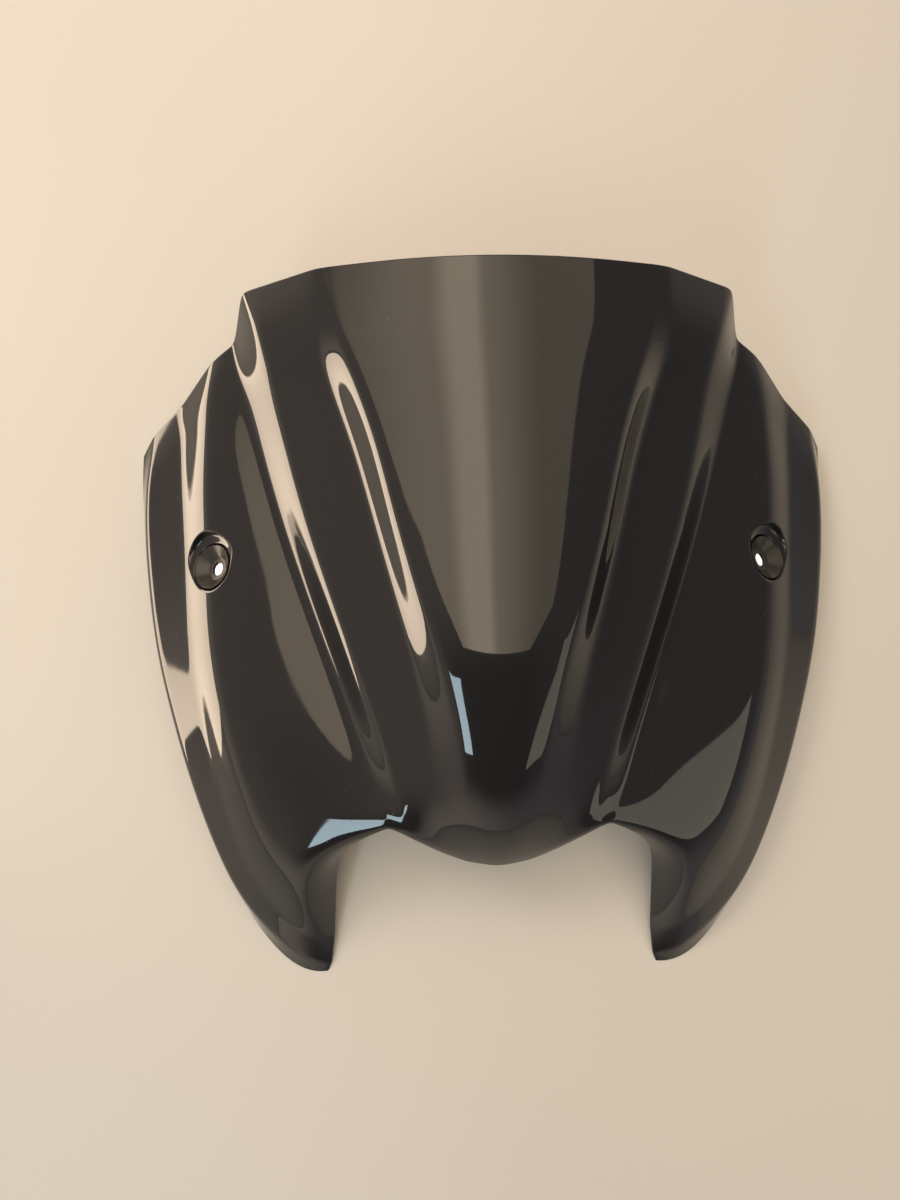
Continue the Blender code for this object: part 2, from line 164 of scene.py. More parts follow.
class ScreenSizes(bpy.types.PropertyGroup):
    """Sizes and finishes of the screen and of the stage."""

    wall: bpy.props.FloatProperty(
        name="Wall", description="Thickness of the moulding", default=3 * MM, unit="LENGTH"
    )
    fillet: bpy.props.FloatProperty(
        name="Fillet",
        description="Run of the rounding beside each pressed wall",
        default=4 * MM,
        unit="LENGTH",
    )
    channel_depth: bpy.props.FloatProperty(
        name="Channel depth",
        description="How far the two long channels sink below the centre panel",
        default=14 * MM,
        unit="LENGTH",
    )
    edge_cut: bpy.props.FloatProperty(
        name="Edge rounding",
        description="Size of the rounding along the free edges",
        default=0.8 * MM,
        unit="LENGTH",
    )
    lip_cut: bpy.props.FloatProperty(
        name="Lip rounding",
        description="Size of the rounding of a recess's mouth",
        default=0.7 * MM,
        unit="LENGTH",
    )
    mouth: bpy.props.FloatProperty(
        name="Recess mouth", description="Diameter of a recess's mouth", default=35 * MM, unit="LENGTH"
    )
    seat: bpy.props.FloatProperty(
        name="Recess seat",
        description="Diameter of the wall round the washer",
        default=26 * MM,
        unit="LENGTH",
    )
    hole: bpy.props.FloatProperty(
        name="Recess hole",
        description="Diameter of the hole in a recess's floor",
        default=17 * MM,
        unit="LENGTH",
    )
    floor: bpy.props.FloatProperty(
        name="Recess floor", description="Thickness of a recess's floor", default=2.5 * MM, unit="LENGTH"
    )
    washer: bpy.props.FloatProperty(
        name="Washer", description="Diameter of a cup washer", default=24 * MM, unit="LENGTH"
    )
    land: bpy.props.FloatProperty(
        name="Washer flat",
        description="Diameter of the flat in a cup washer",
        default=12 * MM,
        unit="LENGTH",
    )
    bore: bpy.props.FloatProperty(
        name="Washer bore", description="Diameter of a cup washer's bore", default=7.2 * MM, unit="LENGTH"
    )
    washer_wall: bpy.props.FloatProperty(
        name="Washer wall", description="Thickness of a cup washer", default=1.5 * MM, unit="LENGTH"
    )
    rim_depth: bpy.props.FloatProperty(
        name="Rim depth",
        description="Depth of a cup washer's rim in its recess",
        default=3 * MM,
        unit="LENGTH",
    )
    cup_depth: bpy.props.FloatProperty(
        name="Cup depth",
        description="Depth of a cup washer's flat below its rim",
        default=5 * MM,
        unit="LENGTH",
    )
    ring_wall: bpy.props.FloatProperty(
        name="Ring wall", description="Thickness of a rubber ring", default=1.2 * MM, unit="LENGTH"
    )
    fit_gap: bpy.props.FloatProperty(
        name="Fit gap",
        description="Gap between a rubber ring and its neighbours",
        default=0.3 * MM,
        unit="LENGTH",
    )
    turn_steps: bpy.props.IntProperty(
        name="Turn steps", description="Faces round a washer or a ring", default=128, min=24
    )
    shell_colour: bpy.props.FloatVectorProperty(
        name="Moulding",
        description="Colour of the moulding",
        default=(0.010, 0.010, 0.011),
        subtype="COLOR",
    )
    washer_colour: bpy.props.FloatVectorProperty(
        name="Washer",
        description="Colour of the cup washers",
        default=(0.022, 0.020, 0.018),
        subtype="COLOR",
    )
    ring_colour: bpy.props.FloatVectorProperty(
        name="Rubber",
        description="Colour of the rubber rings",
        default=(0.035, 0.033, 0.031),
        subtype="COLOR",
    )
    table_colour: bpy.props.FloatVectorProperty(
        name="Table", description="Colour of the table", default=(0.50, 0.47, 0.44), subtype="COLOR"
    )
    room_left: bpy.props.FloatVectorProperty(
        name="Room on the left",
        description="Light from the left half of the room",
        default=(0.72, 0.60, 0.50),
        subtype="COLOR",
    )
    room_right: bpy.props.FloatVectorProperty(
        name="Room on the right",
        description="Light from the right half of the room",
        default=(0.26, 0.24, 0.24),
        subtype="COLOR",
    )
    ceiling_colour: bpy.props.FloatVectorProperty(
        name="Ceiling",
        description="Light from the ceiling overhead",
        default=(2.6, 2.15, 1.6),
        soft_max=10,
        subtype="COLOR",
    )
    window_colour: bpy.props.FloatVectorProperty(
        name="Window",
        description="Light from the window ahead",
        default=(7, 9, 10),
        soft_max=20,
        subtype="COLOR",
    )
    wall_colour: bpy.props.FloatVectorProperty(
        name="Far wall",
        description="Light from the wall on the right",
        default=(1.6, 1.5, 1.2),
        soft_max=10,
        subtype="COLOR",
    )
    glow_colour: bpy.props.FloatVectorProperty(
        name="Side glow",
        description="Light from low on the left",
        default=(9.5, 7.6, 5.7),
        soft_max=10,
        subtype="COLOR",
    )


# Outlines and surfaces


def outer_skin(s):
    """The control points of the outer face's half at +X, rows by rails by three."""
    rails = (
        CENTRE, PANEL_EDGE, CHANNEL_IN, CHANNEL_OUT, LOBE_IN, LOBE_MID,
        LOBE_OUT, CREASE_TOP, CREASE_FOOT, BAND_TOP, SIDE_EDGE,
    )
    (
        centre, panel_edge, channel_in, channel_out, lobe_in, lobe_mid,
        lobe_out, crease_top, crease_foot, band_top, side_edge,
    ) = (np.array(rail) * MM for rail in rails)

    def beside(corner, neighbour):
        """The line where a corner's rounding starts, on the way to a neighbour."""
        step = neighbour - corner
        length = np.linalg.norm(step, axis=1, keepdims=True)
        return corner + step * np.minimum(s.fillet / length, FILLET_LIMIT)

    sink = s.channel_depth * np.array(CHANNEL_FADE)
    channel_in[:, 2] -= sink
    channel_out[:, 2] -= sink
    side_edge[FIRST_RESTING_ROW:, 2] -= REST_OVERRUN
    panel_mid = (centre + panel_edge) / 2
    panel_mid[:, 2] += (centre[:, 2] - panel_edge[:, 2]) / 4
    cage = [
        centre, panel_mid, beside(panel_edge, panel_mid), panel_edge,
        channel_in, beside(channel_in, channel_out), beside(channel_out, channel_in), channel_out,
        lobe_in, beside(lobe_in, lobe_mid), lobe_mid, lobe_out, crease_top,
        crease_foot, beside(crease_foot, band_top), beside(band_top, crease_foot), band_top, side_edge,
    ]
    return Skin(np.stack(cage, axis=1))


class Skin:
    """A cubic spline surface over a cage. u runs down the rows and v runs out along them."""

    def __init__(self, cage):
        self.last_row = cage.shape[0] - 1
        self.last_rail = cage.shape[1] - 1
        rows = np.concatenate([[2 * cage[0] - cage[1]], cage, [2 * cage[-1] - cage[-2]]])
        mirrored = rows[:, 1:2] * (-1, 1, 1)
        beyond = 2 * rows[:, -1:] - rows[:, -2:-1]
        self.net = np.concatenate([mirrored, rows, beyond], axis=1)

    @staticmethod
    def weights(place, last, slope):
        """The first of the four control points that a place lies among, and their weights or slopes."""
        start = np.clip(np.floor(place), 0, last - 1).astype(int)
        t = place - start
        if slope:
            parts = (-((1 - t) ** 2) / 2, (3 * t**2 - 4 * t) / 2, (1 + 2 * t - 3 * t**2) / 2, t**2 / 2)
        else:
            parts = (
                (1 - t) ** 3 / 6,
                (3 * t**3 - 6 * t**2 + 4) / 6,
                (1 + 3 * t + 3 * t**2 - 3 * t**3) / 6,
                t**3 / 6,
            )
        return start, np.stack(parts, -1)

    def spline(self, u, v, slope_u=False, slope_v=False):
        u, v = np.broadcast_arrays(np.asarray(u, float), np.asarray(v, float))
        row, down = self.weights(u, self.last_row, slope_u)
        rail, out = self.weights(v, self.last_rail, slope_v)
        four = np.arange(4)
        near = self.net[row[..., None, None] + four[:, None], rail[..., None, None] + four]
        return np.einsum("...i,...j,...ijx->...x", down, out, near)

    def slopes(self, u, v):
        return self.spline(u, v, slope_u=True), self.spline(u, v, slope_v=True)

    def face(self, u, v, depth=0.0):
        """Points at a depth under the outer face."""
        normal = np.cross(*self.slopes(u, v))
        return self.spline(u, v) - depth * normal / np.linalg.norm(normal, axis=-1, keepdims=True)

    def rest(self, u, depth):
        """The v at which each u meets the resting plane, or the last rail where it stays above it."""
        low = np.full(np.shape(u), float(REST_RAIL))
        high = np.full(np.shape(u), float(self.last_rail))
        meets = self.face(u, high, depth)[..., 2] < 0
        for _ in range(REST_HALVINGS):
            middle = (low + high) / 2
            above = self.face(u, middle, depth)[..., 2] > 0
            low = np.where(above, middle, low)
            high = np.where(above, high, middle)
        return np.where(meets, low, self.last_rail)


class Recess:
    """The frame of the bolt recess at +X, with the skin round it."""

    def __init__(self, skin):
        self.skin = skin
        axis = np.array(
            (
                math.sin(RECESS_TILT_IN),
                math.sin(RECESS_TILT_DOWN),
                math.cos(RECESS_TILT_IN) * math.cos(RECESS_TILT_DOWN),
            )
        )
        self.axis = axis / np.linalg.norm(axis)
        across = np.cross((0, 1, 0), self.axis)
        self.across = across / np.linalg.norm(across)
        self.along = np.cross(self.axis, self.across)

    def matrix(self, side):
        """The place of a ring that is turned about Z, for side 1 at +X or for its mirror image at side -1."""
        turn = Matrix((self.across, self.along, self.axis)).transposed().to_4x4()
        mirror = Matrix.Diagonal((side, 1, 1, 1))
        return mirror @ Matrix.Translation(RECESS_ORIGIN) @ turn @ mirror

    def point(self, angle, radius, height):
        """The point at an angle and a radius round the axis, and at a height over the mouth."""
        angle, radius, height = (np.asarray(value)[..., None] for value in (angle, radius, height))
        round_axis = np.cos(angle) * self.across + np.sin(angle) * self.along
        return RECESS_ORIGIN + radius * round_axis + height * self.axis

    def angle(self, points):
        return np.arctan2((points - RECESS_ORIGIN) @ self.along, (points - RECESS_ORIGIN) @ self.across)

    def skin_under(self, angle, radius, depth):
        """u, v and the height over the mouth of the face at an angle and a radius round the axis."""
        angle, radius = np.broadcast_arrays(angle, radius)
        u = np.full(angle.shape, RECESS_ROW)
        v = np.full(angle.shape, RECESS_RAIL)
        wanted = np.stack([radius * np.cos(angle), radius * np.sin(angle)], -1)
        across = np.stack([self.across, self.along], -1)
        for _ in range(SEARCH_STEPS):
            miss = (self.skin.face(u, v, depth) - RECESS_ORIGIN) @ across - wanted
            down, out = (slope @ across for slope in self.skin.slopes(u, v))
            size = down[..., 0] * out[..., 1] - down[..., 1] * out[..., 0]
            u_step = (out[..., 1] * miss[..., 0] - out[..., 0] * miss[..., 1]) / size
            v_step = (down[..., 0] * miss[..., 1] - down[..., 1] * miss[..., 0]) / size
            u = np.clip(u - SEARCH_SHARE * u_step, *SEARCH_ROWS)
            v = np.clip(v - SEARCH_SHARE * v_step, *SEARCH_RAILS)
        height = (self.skin.face(u, v, depth) - RECESS_ORIGIN) @ self.axis
        return u, v, height


def bend(start, corner, end, shares):
    """Points on the curve from start to end that leaves and arrives along the sides of the corner."""
    t = np.reshape(shares, (-1, *[1] * np.ndim(start)))
    return (1 - t) ** 2 * start + 2 * t * (1 - t) * corner + t**2 * end


def rounded(outline, cuts, closed=False):
    """The outline with each corner replaced by a curve that begins the cut's length before it."""
    outline = np.array(outline, float)
    shares = np.linspace(0, 1, CORNER_STEPS + 1)
    made = []
    for i, (corner, cut) in enumerate(zip(outline, cuts)):
        if cut == 0 or (not closed and i in (0, len(outline) - 1)):
            made.append(corner)
            continue
        before = outline[i - 1] - corner
        after = outline[(i + 1) % len(outline)] - corner
        start = corner + before / np.linalg.norm(before) * cut
        end = corner + after / np.linalg.norm(after) * cut
        made.extend(bend(start, corner, end, shares))
    return np.array(made)


def cone_depth(s, radius, below=0.0):
    """Depth under the mouth of the cup's cone at a radius, or of the cone that lies square below it."""
    slope = s.cup_depth / ((s.washer - s.land) / 2)
    return s.rim_depth + (s.washer / 2 - radius) * slope + below * math.hypot(1, slope)


def recess_outline(s):
    """(radius, height) down the recess's wall, over its seat, through its hole and up round its boss."""
    mouth, seat, hole = s.mouth / 2, s.seat / 2, s.hole / 2
    under = s.washer_wall + s.ring_wall + 2 * s.fit_gap
    foot = -cone_depth(s, hole, under)
    outline = [
        (mouth, SPOKE_TOP),
        (mouth, MOUTH_FOOT),
        (seat, SEAT_TOP),
        (seat, -cone_depth(s, seat, under)),
        (hole, foot),
        (hole, foot - s.floor),
        (seat + s.wall, foot - s.floor),
        (seat + s.wall, SEAT_TOP - s.wall),
        (mouth + s.wall, MOUTH_FOOT - s.wall),
        (mouth + s.wall, SPOKE_TOP),
    ]
    cuts = [0, 1.7 * MM, 0.5 * MM, 0.5 * MM, 0.4 * MM, 0.4 * MM, 0.9 * MM, 0.8 * MM, 0.8 * MM, 0]
    return rounded(outline, cuts)


def washer_outline(s):
    """(radius, height) round a cup washer's section, from the bore's edge on its flat."""
    bore, rim = s.bore / 2, s.washer / 2
    land = s.rim_depth + s.cup_depth
    foot = land + s.washer_wall
    rim_foot = cone_depth(s, rim, s.washer_wall)
    foot_radius = rim - (foot - rim_foot) * (rim - s.land / 2) / s.cup_depth
    outline = [
        (bore, -land),
        (s.land / 2, -land),
        (rim, -s.rim_depth),
        (rim, -rim_foot),
        (foot_radius, -foot),
        (bore, -foot),
    ]
    return rounded(outline, [0.25 * MM, 0.8 * MM, 0.45 * MM, 0.3 * MM, 0.8 * MM, 0.2 * MM], closed=True)


def ring_outline(s):
    """(radius, height) round a rubber ring's section."""
    inner, outer = s.hole / 2 + s.fit_gap, s.washer / 2
    top = s.washer_wall + s.fit_gap
    foot = top + s.ring_wall
    outline = [
        (inner, -cone_depth(s, inner, top)),
        (outer, -cone_depth(s, outer, top)),
        (outer, -cone_depth(s, outer, foot)),
        (inner, -cone_depth(s, inner, foot)),
    ]
    return rounded(outline, [0.35 * MM] * 4, closed=True)


# Meshes


class Weave:
    """Points, and the faces between neighbouring lines of them."""

    def __init__(self):
        self.points = []
        self.faces = []

    def add(self, points):
        """Adds an array of points and returns their numbers in the same layout."""
        first = len(self.points)
        self.points.extend(points.reshape(-1, 3))
        return np.arange(first, len(self.points)).reshape(points.shape[:-1])

    def between(self, one, other, ring=False):
        """Adds the faces between two lines of point numbers."""
        ends = zip(one, np.roll(one, -1), np.roll(other, -1), other)
        self.faces.extend(list(ends)[: None if ring else -1])

    def through(self, lines, ring=False):
        """Adds the faces between each line and the next."""
        for one, other in zip(lines, lines[1:]):
            self.between(one, other, ring)

    def mesh(self, name):
        """The mesh, without the points that no face uses."""
        used, faces = np.unique(np.array(self.faces), return_inverse=True)
        mesh = bpy.data.meshes.new(name)
        mesh.from_pydata(np.array(self.points)[used], [], faces.reshape(-1, 4).tolist())
        return face_outwards(mesh)


def face_outwards(mesh):
    shape = bmesh.new()
    shape.from_mesh(mesh)
    bmesh.ops.recalc_face_normals(shape, faces=shape.faces[:])
    shape.to_mesh(mesh)
    shape.free()
    return mesh


def face_grid(skin, depth, cut):
    """u and v of one face's grid, which stops a cut short of the free edges, and the points on them."""
    u = np.linspace(0, skin.last_row, skin.last_row * ROWS_PER_SPAN + 1)
    v = np.linspace(0, skin.last_rail, skin.last_rail * COLUMNS_PER_SPAN + 1)
    ends = skin.rest(u, depth)
    side = cut / np.linalg.norm(skin.spline(u, ends, slope_v=True), axis=-1)
    beyond = (v - REST_RAIL) / (skin.last_rail - REST_RAIL)
    v_grid = np.where(v <= REST_RAIL, v, REST_RAIL + beyond * (ends - side - REST_RAIL)[:, None])
    top, bottom = (
        cut / np.linalg.norm(skin.spline(u[row], v_grid[row], slope_u=True), axis=-1) for row in (0, -1)
    )
    near_top, near_bottom = np.clip(1 - u, 0, 1), np.clip(u - u[-1] + 1, 0, 1)
    u_grid = u[:, None] + top * near_top[:, None] - bottom * near_bottom[:, None]
    side_u = u_grid[:, -1].copy()
    side_u[0], side_u[-1] = u[0], u[-1]
    side_v = skin.rest(side_u, depth)
    border_u = np.concatenate([np.zeros(len(v) - 1), side_u, np.full(len(v) - 1, u[-1])])
    border_v = np.concatenate([v_grid[0, :-1], side_v, v_grid[-1, -2::-1]])
    return u_grid, v_grid, skin.face(border_u, border_v, depth)


def border(grid):
    """The numbers along the free edges of a grid: its top row, its last column and its bottom row."""
    return np.concatenate([grid[0, :-1], grid[:, -1], grid[-1, -2::-1]])


def block_ring(grid):
    """The numbers round the recess's block of a grid, as one closed ring."""
    top, foot, first, last = RECESS_BLOCK
    return np.concatenate(
        [
            grid[top, first:last],
            grid[top:foot, last],
            grid[foot, last:first:-1],
            grid[foot:top:-1, first],
        ]
    )


def weave_face(weave, points):
    """Adds a face's grid with the recess's block left open, and returns its numbers."""
    grid = weave.add(points)
    top, foot, first, last = RECESS_BLOCK
    for row in range(grid.shape[0] - 1):
        if top <= row < foot:
            weave.between(grid[row, : first + 1], grid[row + 1, : first + 1])
            weave.between(grid[row, last:], grid[row + 1, last:])
        else:
            weave.between(grid[row], grid[row + 1])
    return grid


def weave_rim(weave, front, back, front_corner, back_corner, cut):
    """The rounded edge between the borders of the two faces."""
    points = np.array(weave.points)
    across = back_corner - front_corner
    across *= cut / np.linalg.norm(across, axis=-1, keepdims=True)
    shares = np.linspace(0, 1, CORNER_STEPS + 1)
    down = bend(points[front], front_corner, front_corner + across, shares[1:])
    up = bend(back_corner - across, back_corner, points[back], shares[:-1])
    weave.through([front, *weave.add(down), *weave.add(up), back])


def weave_recess(weave, s, recess, front, back, front_uv, back_uv):
    """The recess and its boss, from the ring round its block on one face to that on the other."""
    turn = np.unwrap(recess.angle(np.array(weave.points)[front]))
    steps = np.arange(len(turn)) * 2 * math.pi / len(turn)
    even = turn.mean() + np.sign(turn[-1] - turn[0]) * (steps - steps.mean())
    angle = turn + SPOKE_EVENING * (even - turn)

    outline = recess_outline(s)
    length = np.concatenate([[0], np.cumsum(np.linalg.norm(np.diff(outline, axis=0), axis=1))])

    def on_outline(at):
        """Radius and height at a length along the outline."""
        return np.interp(at, length, outline[:, 0]), np.interp(at, length, outline[:, 1])

    def crossing(depth, radii, stations):
        """The length along the outline at which it passes through the face, for each spoke."""
        _, _, heights = recess.skin_under(angle[:, None], radii, depth)
        radius, height = on_outline(stations)
        places = []
        for skin_height in heights:
            over = height - np.interp(radius, radii, skin_height)
            past = np.argmax(over * over[0] < 0)
            share = over[past - 1] / (over[past - 1] - over[past])
            places.append(stations[past - 1] + share * (stations[past] - stations[past - 1]))
        return np.array(places)

    wall = np.linspace(length[0], length[-1], WALL_SAMPLES)
    radius, height = on_outline(wall)
    inside = np.isclose(radius, s.seat / 2, atol=1e-6) & (height < STRAIGHT_WALL)
    outside = np.isclose(radius, s.seat / 2 + s.wall, atol=1e-6) & (height > STRAIGHT_BOSS)
    seat_place, boss_place = wall[inside][0], wall[outside][0]

    radii = np.linspace(s.seat, s.mouth, FACE_SAMPLES) / 2
    mouth = crossing(0, radii, wall[wall < seat_place])
    junction = crossing(s.wall, radii + s.wall, wall[wall > boss_place])

    mouth_radius, mouth_height = on_outline(mouth)
    lip_u, lip_v, _ = recess.skin_under(angle, mouth_radius + s.lip_cut, 0)
    lip = recess.skin.face(lip_u, lip_v)
    corner = recess.point(angle, mouth_radius, mouth_height)
    inner = recess.point(angle, *on_outline(mouth + s.lip_cut))

    junction_radius, junction_height = on_outline(junction)
    root_u, root_v, _ = recess.skin_under(angle, junction_radius + ROOT_BLEND, s.wall)
    root = recess.skin.face(root_u, root_v, s.wall)
    root_corner = recess.point(angle, junction_radius, junction_height)
    boss_top = recess.point(angle, *on_outline(junction - ROOT_BLEND))

    shares = np.linspace(0, 1, CORNER_STEPS + 1)
    rings = [front]
    for share in np.linspace(0, 1, LIP_RINGS + 1)[1:-1]:
        u = front_uv[0] + share * (lip_u - front_uv[0])
        v = front_uv[1] + share * (lip_v - front_uv[1])
        rings.append(weave.add(recess.skin.face(u, v)))
    rings.extend(weave.add(bend(lip, corner, inner, shares)))
    for share in np.linspace(0, 1, WALL_RINGS + 1)[1:]:
        place = mouth + s.lip_cut + share * (seat_place - mouth - s.lip_cut)
        rings.append(weave.add(recess.point(angle, *on_outline(place))))
    for place in length[(length > seat_place + 1e-5) & (length < boss_place - 1e-5)]:
        rings.append(weave.add(recess.point(angle, *on_outline(np.full(len(angle), place)))))
    for share in np.linspace(0, 1, BOSS_RINGS + 1)[:-1]:
        place = boss_place + share * (junction - ROOT_BLEND - boss_place)
        rings.append(weave.add(recess.point(angle, *on_outline(place))))
    rings.extend(weave.add(bend(boss_top, root_corner, root, shares)))
    for share in np.linspace(1, 0, BOSS_RINGS + 1)[1:-1]:
        u = back_uv[0] + share * (root_u - back_uv[0])
        v = back_uv[1] + share * (root_v - back_uv[1])
        rings.append(weave.add(recess.skin.face(u, v, s.wall)))
    rings.append(back)
    weave.through(rings, ring=True)


def half_shell(s):
    """The moulding's half at +X, open along the plane X = 0."""
    skin = outer_skin(s)
    recess = Recess(skin)
    weave = Weave()
    grids, corners, places = [], [], []
    for depth in (0, s.wall):
        u, v, corner = face_grid(skin, depth, s.edge_cut)
        grids.append(weave_face(weave, skin.face(u, v, depth)))
        corners.append(corner)
        places.append((block_ring(u), block_ring(v)))
    weave_rim(weave, *map(border, grids), *corners, s.edge_cut)
    weave_recess(weave, s, recess, *map(block_ring, grids), *places)
    return weave.mesh("shell_half")


# Nodes


class Socket:
    """A node's output that takes part in arithmetic. Each step adds a Math node to its graph."""

    def __init__(self, graph, output):
        self.graph = graph
        self.output = output

    def math(self, operation, first, second):
        return self.graph.add("ShaderNodeMath", {"operation": operation}, {0: first, 1: second})

    def __add__(self, other):
        return self.math("ADD", self, other)

    def __sub__(self, other):
        return self.math("SUBTRACT", self, other)

    def __mul__(self, other):
        return self.math("MULTIPLY", self, other)

    def __radd__(self, other):
        return self.math("ADD", other, self)

    def __rsub__(self, other):
        return self.math("SUBTRACT", other, self)

    def __rmul__(self, other):
        return self.math("MULTIPLY", other, self)

    def modulo(self, other):
        return self.math("MODULO", self, other)

    def rounded_off(self):
        return self.math("ROUND", self, 0.0)

    def size(self):
        """The value without its sign."""
        return self.math("ABSOLUTE", self, 0.0)

    def between(self, low, high):
        """0 at low and 1 at high, smooth in between."""
        settings = {"interpolation_type": "SMOOTHSTEP"}
        inputs = {"Value": self, "From Min": low, "From Max": high}
        return self.graph.add("ShaderNodeMapRange", settings, inputs)


class Graph:
    """Adds nodes to one tree."""

    def __init__(self, tree):
        self.tree = tree

    def add(self, kind, settings=None, inputs=None, output=0):
        """Adds a node, with its settings first, and returns one of its outputs."""
        node = self.tree.nodes.new(kind)
        for name, value in (settings or {}).items():
            setattr(node, name, value)
        for key, value in (inputs or {}).items():
            self.join(value, node.inputs[key])
        return Socket(self, node.outputs[output]) if node.outputs else node

    def join(self, value, socket):
        if isinstance(value, Socket):
            self.tree.links.new(value.output, socket)
        else:
            socket.default_value = value

    def parts(self, vector):
        """The x, y and z of a vector."""
        split = self.add("ShaderNodeSeparateXYZ", inputs={0: vector}).output.node
        return [Socket(self, part) for part in split.outputs]

    def mix(self, share, first, second):
        """The colour between two, at a share from 0 to 1."""
        settings = {"data_type": "RGBA"}
        return self.add("ShaderNodeMix", settings, {0: share, 6: first, 7: second}, output=2)


def opaque(colour):
    return (*colour, 1.0)


class Finish:
    """A material with its own graph and its Principled shader."""

    def __init__(self, name, colour, roughness):
        self.material = bpy.data.materials.new(name)
        self.material.use_nodes = True
        self.graph = Graph(self.material.node_tree)
        self.shader = self.material.node_tree.nodes["Principled BSDF"]
        self.set("Base Color", opaque(colour))
        self.set("Roughness", roughness)
        self.place = self.graph.add("ShaderNodeTexCoord", output="Object")

    def set(self, name, value):
        self.graph.join(value, self.shader.inputs[name])

    def noise(self, scale, detail):
        inputs = {"Vector": self.place, "Scale": scale, "Detail": detail}
        return self.graph.add("ShaderNodeTexNoise", inputs=inputs)

    def bump(self, height, distance, under=None):
        inputs = {"Height": height, "Distance": distance, "Strength": 1.0}
        if under:
            inputs["Normal"] = under
        return self.graph.add("ShaderNodeBump", inputs=inputs)


def gloss_black(s):
    """Polished black plastic: slightly wavy, with fine dust."""
    finish = Finish("gloss_black", s.shell_colour, 0.05)
    graph = finish.graph
    specks = {"Vector": finish.place, "Scale": 260.0, "Randomness": 1.0}
    cells = graph.add("ShaderNodeTexVoronoi", {"feature": "F1"}, specks)
    patches = finish.noise(22.0, 3.0).between(0.56, 0.72)
    dust = (1 - cells.between(0.05, 0.09)) * patches
    finish.set("Base Color", graph.mix(dust * 0.35, opaque(s.shell_colour), opaque(DUST)))
    haze = finish.noise(14.0, 4.0).between(0.42, 0.75)
    finish.set("Roughness", 0.03 + 0.03 * haze + 0.3 * dust)
    waves = finish.bump(finish.noise(26.0, 1.0), 0.00005)
    finish.set("Normal", finish.bump(finish.noise(420.0, 1.0), 0.0000012, waves))
    return finish.material


def satin_black(s):
    """Dull black plastic with a fine grain."""
    finish = Finish("satin_black", s.washer_colour, 0.26)
    finish.set("Specular IOR Level", 0.3)
    finish.set("Roughness", 0.21 + 0.10 * finish.noise(300.0, 3.0))
    finish.set("Normal", finish.bump(finish.noise(2600.0, 2.0), 0.000015))
    return finish.material


def rubber(s):
    """Matt black rubber."""
    finish = Finish("rubber", s.ring_colour, 0.6)
    finish.set("Roughness", 0.54 + 0.14 * finish.noise(500.0, 3.0))
    finish.set("Normal", finish.bump(finish.noise(1500.0, 2.0), 0.00002))
    return finish.material


def table_top(s):
    """A pale, slightly dull table."""
    finish = Finish("table_top", s.table_colour, 0.5)
    shade = finish.noise(3.0, 2.0).between(0.3, 0.7)
    dull = opaque(Vector(s.table_colour) * 0.97)
    finish.set("Base Color", finish.graph.mix(shade, opaque(s.table_colour), dull))
    return finish.material


def lathe_group():
    """Turns an outline in the plane Y = 0 about Z into a closed ring with a finish."""
    tree = bpy.data.node_groups.new("lathe", "GeometryNodeTree")
    tree.interface.new_socket("Outline", in_out="INPUT", socket_type="NodeSocketGeometry")
    steps = tree.interface.new_socket("Steps", in_out="INPUT", socket_type="NodeSocketInt")
    finish = tree.interface.new_socket("Finish", in_out="INPUT", socket_type="NodeSocketMaterial")
    tree.interface.new_socket("Ring", in_out="OUTPUT", socket_type="NodeSocketGeometry")
    graph = Graph(tree)
    start = tree.nodes.new("NodeGroupInput")
    outline, step_count, material = (Socket(graph, output) for output in start.outputs[:3])
    count = graph.add("GeometryNodeAttributeDomainSize", {"component": "MESH"}, {"Geometry": outline})
    sheet = graph.add(
        "GeometryNodeMeshGrid",
        inputs={"Size X": 1.0, "Size Y": 1.0, "Vertices X": step_count + 1, "Vertices Y": count + 1},
    )
    place = graph.add("GeometryNodeInputPosition")
    across, along, _ = graph.parts(place)
    number = ((along + 0.5) * count).rounded_off().modulo(count)
    angle = (across + 0.5) * (2 * math.pi)
    sampled = graph.add(
        "GeometryNodeSampleIndex",
        {"data_type": "FLOAT_VECTOR", "domain": "POINT"},
        {"Geometry": outline, "Value": place, "Index": number},
    )
    about_z = {"rotation_type": "Z_AXIS"}
    turned = graph.add("ShaderNodeVectorRotate", about_z, {"Vector": sampled, "Angle": angle})
    moved = graph.add("GeometryNodeSetPosition", inputs={"Geometry": sheet, "Position": turned})
    closed = graph.add("GeometryNodeMergeByDistance", inputs={"Geometry": moved, "Distance": 0.001 * MM})
    smooth = graph.add("GeometryNodeSetShadeSmooth", inputs={"Geometry": closed})
    real = graph.add("GeometryNodeRealizeInstances", inputs={"Geometry": smooth})
    painted = graph.add("GeometryNodeSetMaterial", inputs={"Geometry": real, "Material": material})
    end = tree.nodes.new("NodeGroupOutput")
    graph.join(painted, end.inputs["Ring"])
    return tree, steps.identifier, finish.identifier


# Objects


def add_object(name, data):
    """A new object at the origin."""
    made = bpy.data.objects.new(name, data)
    bpy.context.scene.collection.objects.link(made)
    return made


def settle(obj):
    """Turns what the modifiers make of the object into its plain mesh."""
    graph = bpy.context.evaluated_depsgraph_get()
    plain = bpy.data.meshes.new_from_object(obj.evaluated_get(graph), depsgraph=graph)
    obj.modifiers.clear()
    obj.data = plain


